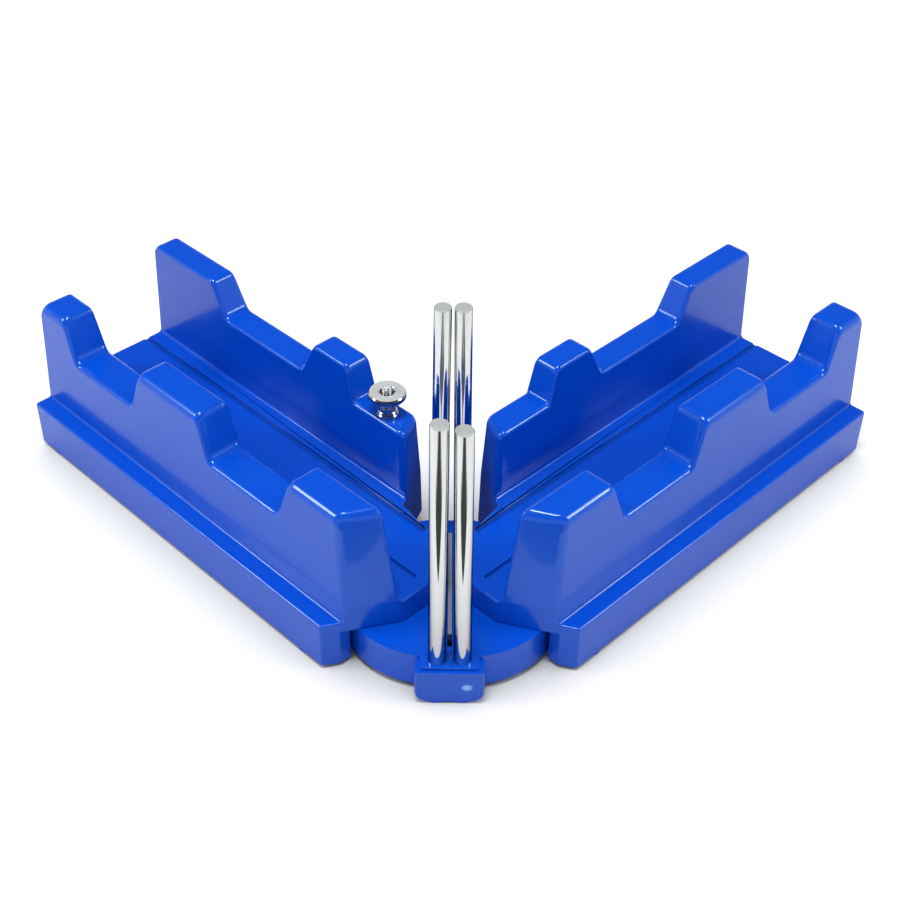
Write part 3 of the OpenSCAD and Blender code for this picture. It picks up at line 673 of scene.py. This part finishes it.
def guide_pin(node, look):
    """A polished rod along its CAD node, with chamfered, sawn ends."""
    points = [v.co for v in nodes[node].data.vertices]
    lowest, highest = min(c.z for c in points), max(c.z for c in points)
    low = [c for c in points if c.z < lowest + 0.6 * MM]
    high = [c for c in points if c.z > highest - 0.6 * MM]
    foot = sum(low, Vector()) / len(low)
    tip = sum(high, Vector()) / len(high)
    axis = (tip - foot).normalized()
    foot = foot - axis * (foot.z - lowest) / axis.z
    length = (highest - foot.z) / axis.z
    mid = (foot + tip) / 2
    radius = max((c - mid - axis * (c - mid).dot(axis)).length for c in points)
    place = Matrix.Translation(foot) @ Vector((0, 0, 1)).rotation_difference(axis).to_matrix().to_4x4()
    cut = look.chamfer
    inset = 0.03 * MM
    half = [(0, inset), (radius - cut, inset), (radius - cut * 0.35, cut * 0.22), (radius, cut)]
    profile = half + [(r, length - z) for r, z in reversed(half)]
    rod = lathe(node + "_rod", profile, bpy.data.materials["polished_steel"], place, 96, 30)
    rod.data.materials.append(bpy.data.materials["sawn_steel"])
    for p in rod.data.polygons:
        if abs(p.normal.dot(axis)) > 0.9:
            p.material_index = 1
    finish_piece(rod, "base", node)


class MITRE_OT_pins(Operator):
    """Makes the four polished guide pins"""

    bl_idname = "mitre.pins"
    bl_label = "Guide pins"

    def execute(self, context):
        for node in ("front_left_pin", "front_right_pin", "rear_left_pin", "rear_right_pin"):
            guide_pin(node, context.scene.mitre_steel)
        return {"FINISHED"}


def grown(name, tree, inputs):
    """A plain mesh piece that a Geometry Nodes tree grows on an empty mesh, with the inputs given by name."""
    seed = link(bpy.data.objects.new("seed", bpy.data.meshes.new("seed")))
    mod = seed.modifiers.new("grow", "NODES")
    mod.node_group = tree
    for item in tree.interface.items_tree:
        if item.item_type == "SOCKET" and item.in_out == "INPUT" and item.name in inputs:
            mod[item.identifier] = inputs[item.name]
    depsgraph = bpy.context.evaluated_depsgraph_get()
    mesh = bpy.data.meshes.new_from_object(seed.evaluated_get(depsgraph))
    seed.modifiers.remove(mod)
    bpy.data.objects.remove(seed)
    return link(bpy.data.objects.new(name, mesh))


def thread_tree():
    """A helical ridge, by its radius, length, turns, depth and width, in zinc."""
    tree = bpy.data.node_groups.new("thread_ridge", "GeometryNodeTree")
    face = tree.interface
    face.new_socket("Geometry", in_out="INPUT", socket_type="NodeSocketGeometry")
    sizes = (("Radius", 0.0025), ("Length", 0.01), ("Turns", 12.0), ("Depth", 0.0004), ("Width", 0.0007))
    for label, value in sizes:
        s = face.new_socket(label, in_out="INPUT", socket_type="NodeSocketFloat")
        s.default_value = value
    face.new_socket("Geometry", in_out="OUTPUT", socket_type="NodeSocketGeometry")
    new, wire = tree.nodes.new, tree.links.new
    start, end = new("NodeGroupInput"), new("NodeGroupOutput")
    spiral = new("GeometryNodeCurveSpiral")
    spiral.inputs["Resolution"].default_value = 40
    wire(start.outputs["Turns"], spiral.inputs["Rotations"])
    wire(start.outputs["Radius"], spiral.inputs["Start Radius"])
    wire(start.outputs["Radius"], spiral.inputs["End Radius"])
    wire(start.outputs["Length"], spiral.inputs["Height"])
    tilt = new("GeometryNodeSetCurveNormal")
    tilt.mode = "Z_UP"
    profile = new("GeometryNodeCurvePrimitiveQuadrilateral")
    profile.mode = "KITE"
    wire(start.outputs["Width"], profile.inputs["Width"])
    wire(start.outputs["Depth"], profile.inputs["Top Height"])
    wire(start.outputs["Depth"], profile.inputs["Bottom Height"])
    sweep = new("GeometryNodeCurveToMesh")
    wire(spiral.outputs["Curve"], tilt.inputs["Curve"])
    wire(tilt.outputs["Curve"], sweep.inputs["Curve"])
    wire(profile.outputs["Curve"], sweep.inputs["Profile Curve"])
    sweep.inputs["Fill Caps"].default_value = True
    real = new("GeometryNodeRealizeInstances")
    paint = new("GeometryNodeSetMaterial")
    paint.inputs["Material"].default_value = bpy.data.materials["zinc"]
    wire(sweep.outputs["Mesh"], real.inputs["Geometry"])
    wire(real.outputs["Geometry"], paint.inputs["Geometry"])
    wire(paint.outputs["Geometry"], end.inputs["Geometry"])
    return tree


def knurl_tree():
    """Upright ridges round a rim, by their count, radius, height, depth and the height of their middle."""
    tree = bpy.data.node_groups.new("rim_knurl", "GeometryNodeTree")
    face = tree.interface
    face.new_socket("Geometry", in_out="INPUT", socket_type="NodeSocketGeometry")
    count = face.new_socket("Count", in_out="INPUT", socket_type="NodeSocketInt")
    count.default_value = 72
    for label, value in (("Radius", 0.009), ("Height", 0.003), ("Depth", 0.0003), ("Middle", 0.0)):
        s = face.new_socket(label, in_out="INPUT", socket_type="NodeSocketFloat")
        s.default_value = value
    face.new_socket("Geometry", in_out="OUTPUT", socket_type="NodeSocketGeometry")
    new, wire = tree.nodes.new, tree.links.new
    start, end = new("NodeGroupInput"), new("NodeGroupOutput")
    ring = new("GeometryNodeMeshCircle")
    wire(start.outputs["Count"], ring.inputs["Vertices"])
    wire(start.outputs["Radius"], ring.inputs["Radius"])
    ridge = new("GeometryNodeMeshCylinder")
    ridge.inputs["Vertices"].default_value = 6
    wire(start.outputs["Depth"], ridge.inputs["Radius"])
    wire(start.outputs["Height"], ridge.inputs["Depth"])
    scatter = new("GeometryNodeInstanceOnPoints")
    wire(ring.outputs["Mesh"], scatter.inputs["Points"])
    wire(ridge.outputs["Mesh"], scatter.inputs["Instance"])
    lift = new("GeometryNodeTransform")
    offset = new("ShaderNodeCombineXYZ")
    wire(start.outputs["Middle"], offset.inputs["Z"])
    wire(offset.outputs["Vector"], lift.inputs["Translation"])
    wire(scatter.outputs["Instances"], lift.inputs["Geometry"])
    real = new("GeometryNodeRealizeInstances")
    paint = new("GeometryNodeSetMaterial")
    paint.inputs["Material"].default_value = bpy.data.materials["nickel"]
    wire(lift.outputs["Geometry"], real.inputs["Geometry"])
    wire(real.outputs["Geometry"], paint.inputs["Geometry"])
    wire(paint.outputs["Geometry"], end.inputs["Geometry"])
    return tree


def place_at(piece, x, y, z):
    """Moves a piece's mesh, so that its object stays at the origin."""
    piece.data.transform(Matrix.Translation((x, y, z)))


def bolt_and_thread(look):
    """The lock bolt with its domed head and plain shank, and the thread round its upper end."""
    low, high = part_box("lock_bolt")
    nut_low, nut_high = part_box("thumb_nut")
    head_r = (high.x - low.x) / 2
    core = BOLT_R - look.pitch * 0.35
    thread_from = nut_low.z + 0.25 * (nut_high.z - nut_low.z)
    tip = 0.5 * MM
    profile = [
        (0, low.z), (head_r - 1.2 * MM, low.z), (head_r - 0.35 * MM, low.z + 0.35 * MM),
        (head_r, low.z + 1.2 * MM), (head_r, low.z + BOLT_HEAD), (BOLT_R, low.z + BOLT_HEAD),
        (BOLT_R, thread_from - 0.3 * MM), (core, thread_from), (core, high.z - tip * 0.6),
        (core - tip, high.z), (0, high.z),
    ]
    place = Matrix.Translation((BOLT.x, BOLT.y, 0))
    bolt = lathe("lock_bolt_turned", profile, bpy.data.materials["faced_nickel"], place, 64)
    length = high.z - thread_from - 1.0 * MM
    ridge = grown("lock_bolt_thread", thread_tree(), {
        "Radius": core, "Length": length, "Turns": length / look.pitch,
        "Depth": BOLT_R - core, "Width": look.pitch * 0.9,
    })
    place_at(ridge, BOLT.x, BOLT.y, thread_from + 0.3 * MM)
    finish_piece(bolt, "left_arm", "lock_bolt")
    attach(ridge, "left_arm")


def nut_and_knurl(look):
    """The dished thumb nut on its neck, and the ridges round its rim."""
    low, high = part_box("thumb_nut")
    radius = (high.x - low.x) / 2
    base, h = low.z, high.z - low.z
    neck = 4.7 * MM
    bore = BOLT_R + 0.05 * MM
    sink = BOLT_R + 1.35 * MM
    rim = radius - 0.2 * MM
    edge = radius / 15
    profile = [
        (bore, base), (neck - 0.25 * MM, base), (neck, base + 0.25 * MM), (neck, base + 0.9 * MM),
        (neck - 0.55 * MM, base + 1.5 * MM), (neck - 0.6 * MM, base + h * 0.24),
        (neck - 0.2 * MM, base + h * 0.36), (neck + 0.8 * MM, base + h * 0.46),
        (radius - 1.4 * MM, base + h * 0.66), (radius - 0.5 * MM, base + h * 0.72),
        (rim, base + h * 0.76), (rim, base + h - edge * 1.1), (radius - edge * 1.2, base + h),
        (sink + 0.2 * MM, base + h), (sink, base + h - 0.2 * MM),
        (sink, base + h - 2.2 * MM), (bore, base + h - 2.9 * MM),
    ]
    place = Matrix.Translation((BOLT.x, BOLT.y, 0))
    nut = lathe("thumb_nut_turned", profile, bpy.data.materials["nickel"], place, 96, 32)
    nut.data.materials.append(bpy.data.materials["faced_nickel"])
    for p in nut.data.polygons:
        if p.normal.z > 0.9:
            p.material_index = 1
    finish_piece(nut, "nut", "thumb_nut")
    rim_low, rim_high = base + h * 0.765, base + h - edge * 1.2
    knurl = grown("thumb_nut_knurl", knurl_tree(), {
        "Count": look.knurls, "Radius": rim, "Height": rim_high - rim_low,
        "Depth": look.knurl, "Middle": (rim_low + rim_high) / 2,
    })
    place_at(knurl, BOLT.x, BOLT.y, 0)
    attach(knurl, "nut")


class MITRE_OT_lock(Operator):
    """Makes the thumb nut, its bolt with a thread, and their washers"""

    bl_idname = "mitre.lock"
    bl_label = "Lock"

    def execute(self, context):
        look = context.scene.mitre_lock
        bolt_and_thread(look)
        nut_and_knurl(look)
        for node in ("lock_washer", "clamp_washer"):
            flat_washer(node, "left_arm", bpy.data.materials["zinc"], BOLT.x, BOLT.y)
        return {"FINISHED"}


def flat_washer(node, body, material, x, y):
    """A flat washer with eased edges, from its CAD node's box."""
    low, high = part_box(node)
    outer = (high.x - low.x) / 2
    inner = min(math.hypot(v.co.x - x, v.co.y - y) for v in nodes[node].data.vertices)
    ease = (high.z - low.z) * 0.22
    profile = [
        (inner, low.z), (outer - ease, low.z), (outer, low.z + ease),
        (outer, high.z - ease), (outer - ease, high.z), (inner, high.z),
    ]
    obj = lathe(node + "_flat", profile, material, Matrix.Translation((x, y, 0)), 64)
    finish_piece(obj, body, node)


class MITRE_OT_gears(Operator):
    """Makes the pair of gears that couple the wings, with their screws and washers"""

    bl_idname = "mitre.gears"
    bl_label = "Gears"

    def execute(self, context):
        black, zinc, white = (bpy.data.materials[n] for n in ("acetal_black", "zinc", "slip_white"))
        for side, arm, x in (("left", "left_arm", PIVOT.x), ("right", "right_arm", -PIVOT.x)):
            gear = new_object(side + "_gear_cut", merged_copy(side + "_gear"), black, 30)
            finish_piece(gear, arm, side + "_gear")
            flat_washer(side + "_wear_washer", "base", white, x, PIVOT.y)
            flat_washer(side + "_pivot_washer", arm, zinc, x, PIVOT.y)
            screw = new_object(side + "_screw_turned", merged_copy(side + "_pivot_screw"), zinc)
            bevel(screw, 0.25 * MM, segments=2, limit=40)
            screw = baked(screw)
            screw.data.shade_smooth()
            screw.data.set_sharp_from_angle(angle=math.radians(40))
            finish_piece(screw, arm, side + "_pivot_screw")
        return {"FINISHED"}


def diffuse(tree, colour=None):
    """A diffuse shader, white where no colour is given."""
    shader = tree.nodes.new("ShaderNodeBsdfDiffuse")
    if colour:
        shader.inputs["Color"].default_value = colour
    return shader


def nearness(tree, distance, samples):
    """How far a point lies open within a distance, from 0 to 1."""
    node = tree.nodes.new("ShaderNodeAmbientOcclusion")
    node.inputs["Distance"].default_value = distance
    node.samples = samples
    return node


def mixed(tree, factor, first, second):
    """A mix of the first outputs of two shaders, by an output of the light path."""
    node = tree.nodes.new("ShaderNodeMixShader")
    tree.links.new(factor, node.inputs["Fac"])
    tree.links.new(first.outputs[0], node.inputs[1])
    tree.links.new(second.outputs[0], node.inputs[2])
    return node


def floor_material():
    """White paper: to the lens white with a real shadow and a shadow painted from nearness, in gloss painted
    darker near the object, and else plain.
    """
    mat = bpy.data.materials.new("paper")
    mat.use_nodes = True
    tree = mat.node_tree
    tree.nodes.clear()
    new, wire = tree.nodes.new, tree.links.new
    coord = new("ShaderNodeTexCoord")
    away = new("ShaderNodeVectorMath")
    away.operation = "LENGTH"
    wire(coord.outputs["Object"], away.inputs[0])
    open_floor = mapped(tree, away, "Value", (0.5, 2.5), (0.72, 1.0))
    # Painted contact shadow: the glow to the lens dims with nearness to the object.
    level = mapped(tree, nearness(tree, 0.06, 8), "AO", (0.3, 1.0), (0.0, 1.0))
    wire(open_floor.outputs["Result"], level.inputs["To Max"])
    glow = new("ShaderNodeEmission")
    glow.inputs["Color"].default_value = (1.0, 1.0, 1.0, 1.0)
    wire(level.outputs["Result"], glow.inputs["Strength"])
    seen = new("ShaderNodeAddShader")
    wire(diffuse(tree, (0.42, 0.42, 0.42, 1.0)).outputs["BSDF"], seen.inputs[0])
    wire(glow.outputs["Emission"], seen.inputs[1])
    # Painted shade: in gloss the paper darkens with nearness to the object.
    gloss_painted_shade = nearness(tree, 0.1, 4)
    gloss_painted_shade.inputs["Color"].default_value = PAPER
    deeper = new("ShaderNodeGamma")
    deeper.inputs["Gamma"].default_value = 1.1
    wire(gloss_painted_shade.outputs["Color"], deeper.inputs["Color"])
    dim = diffuse(tree)
    wire(deeper.outputs["Color"], dim.inputs["Color"])
    path = new("ShaderNodeLightPath")
    lit = mixed(tree, path.outputs["Is Glossy Ray"], diffuse(tree, PAPER), dim)
    pick = mixed(tree, path.outputs["Is Camera Ray"], lit, seen)
    wire(pick.outputs["Shader"], new("ShaderNodeOutputMaterial").inputs["Surface"])
    return mat


def softbox(name, size, power, at, towards):
    """A rectangular soft lamp that points at a place."""
    light = bpy.data.lights.new(name, "AREA")
    light.shape = "RECTANGLE"
    light.size, light.size_y = size
    light.energy = power
    obj = link(bpy.data.objects.new(name, light))
    obj.location = at
    obj.rotation_euler = (Vector(towards) - Vector(at)).to_track_quat("-Z", "Y").to_euler()


def dark_card(name, corners, grey, soft):
    """A dark card on the floor, given about the pivots' line, that only shows in reflections."""
    mat, tree, bsdf = shader_tree(name)
    bsdf.inputs["Base Color"].default_value = (grey, grey * 1.06, grey * 1.04, 1.0)
    bsdf.inputs["Roughness"].default_value = 1.0
    if soft:
        coord = tree.nodes.new("ShaderNodeTexCoord")
        split = tree.nodes.new("ShaderNodeSeparateXYZ")
        aside = tree.nodes.new("ShaderNodeMath")
        aside.operation = "ABSOLUTE"
        tree.links.new(coord.outputs["Object"], split.inputs["Vector"])
        tree.links.new(split.outputs["X"], aside.inputs[0])
        fade = mapped(tree, aside, "Value", soft, (1.0, 0.0))
        fade.interpolation_type = "SMOOTHSTEP"
        tree.links.new(fade.outputs["Result"], bsdf.inputs["Alpha"])
    bm = bmesh.new()
    bm.faces.new([bm.verts.new((x, y + PIVOT.y, CARD_HEIGHT)) for x, y in corners])
    card = new_object(name, bm, mat)
    card.visible_camera = False
    card.visible_diffuse = False
    card.visible_shadow = False


def photo_camera(scene):
    """The camera that was solved from edges of the photo."""
    yaw, pitch, roll = (math.radians(a) for a in CAMERA_TURN)
    forward = Vector((math.sin(yaw) * math.cos(pitch), math.cos(yaw) * math.cos(pitch), math.sin(pitch)))
    right = Vector((math.cos(yaw), -math.sin(yaw), 0.0))
    down = forward.cross(right)
    image_x = math.cos(roll) * right + math.sin(roll) * down
    image_y = -math.sin(roll) * right + math.cos(roll) * down
    camera = bpy.data.cameras.new("photo_camera")
    camera.sensor_width = SENSOR
    camera.lens = FOCAL_PX / FRAME_PX * SENSOR
    camera.clip_start = 0.01
    obj = link(bpy.data.objects.new("photo_camera", camera))
    turn = Matrix((image_x, -image_y, -forward)).transposed().to_4x4()
    x, y, z = (c * MM for c in CAMERA_AT)
    obj.matrix_world = Matrix.Translation((x, y + PIVOT.y, z)) @ turn
    scene.camera = obj


def surroundings(scene, look):
    """The world: white to the lens, an even sky as light, and in gloss a pale horizon under a dark sky."""
    world = bpy.data.worlds.new("studio")
    scene.world = world
    world.use_nodes = True
    tree = world.node_tree
    back = tree.nodes["Background"]
    back.inputs["Color"].default_value = SKY
    back.inputs["Strength"].default_value = look.world
    seen = tree.nodes.new("ShaderNodeBackground")
    seen.inputs["Color"].default_value = (1.0, 1.0, 1.0, 1.0)
    mirrored = tree.nodes.new("ShaderNodeBackground")
    mirrored.inputs["Color"].default_value = SKY
    coord = tree.nodes.new("ShaderNodeTexCoord")
    split = tree.nodes.new("ShaderNodeSeparateXYZ")
    tree.links.new(coord.outputs["Generated"], split.inputs["Vector"])
    rise = mapped(tree, split, "Z", (0.1, 0.4), (1.0, look.mirrored))
    tree.links.new(rise.outputs["Result"], mirrored.inputs["Strength"])
    path = tree.nodes.new("ShaderNodeLightPath")
    gloss = mixed(tree, path.outputs["Is Glossy Ray"], back, mirrored)
    pick = mixed(tree, path.outputs["Is Camera Ray"], gloss, seen)
    tree.links.new(pick.outputs["Shader"], tree.nodes["World Output"].inputs["Surface"])


class MITRE_OT_stage(Operator):
    """Makes the floor, the lamps and the camera"""

    bl_idname = "mitre.stage"
    bl_label = "Stage"

    def execute(self, context):
        scene = context.scene
        look = scene.mitre_stage
        bm = bmesh.new()
        bmesh.ops.create_grid(bm, x_segments=1, y_segments=1, size=FLOOR_HALF)
        floor = new_object("paper_floor", bm, floor_material())
        place_at(floor, 0, 0, -FLOOR_DROP)
        for card in CARDS:
            dark_card(*card)
        for name, size, power, at, towards in LAMPS:
            softbox(name, size, power * look.lamp, at, towards)
        surroundings(scene, look)
        scene.view_settings.view_transform = "Standard"
        photo_camera(scene)
        return {"FINISHED"}


class MITRE_PT_panel(Panel):
    """Lists the steps in the sidebar"""

    bl_idname = "MITRE_PT_panel"
    bl_label = "Mitre box"
    bl_space_type = "VIEW_3D"
    bl_region_type = "UI"
    bl_category = "Mitre box"

    def draw(self, context):
        for name in STEPS:
            self.layout.operator("mitre." + name)


STEPS = ("materials", "wings", "disc", "pins", "lock", "gears", "stage")
LOOKS = {
    "mitre_plastic": PlasticLook, "mitre_steel": SteelLook, "mitre_lock": LockLook, "mitre_stage": StageLook,
}
CLASSES = (
    PlasticLook, SteelLook, LockLook, StageLook, MITRE_OT_materials, MITRE_OT_wings, MITRE_OT_disc,
    MITRE_OT_pins, MITRE_OT_lock, MITRE_OT_gears, MITRE_OT_stage, MITRE_PT_panel,
)


def register():
    """Registers the classes and gives the scene its looks."""
    for c in CLASSES:
        bpy.utils.register_class(c)
    for name, group in LOOKS.items():
        setattr(bpy.types.Scene, name, PointerProperty(type=group))


def unregister():
    """Takes the looks and the classes away again."""
    for name in LOOKS:
        delattr(bpy.types.Scene, name)
    for c in reversed(CLASSES):
        bpy.utils.unregister_class(c)


def main():
    """Runs the steps in order."""
    register()
    for name in STEPS:
        getattr(bpy.ops.mitre, name)()


if __name__ == "__main__":
    main()
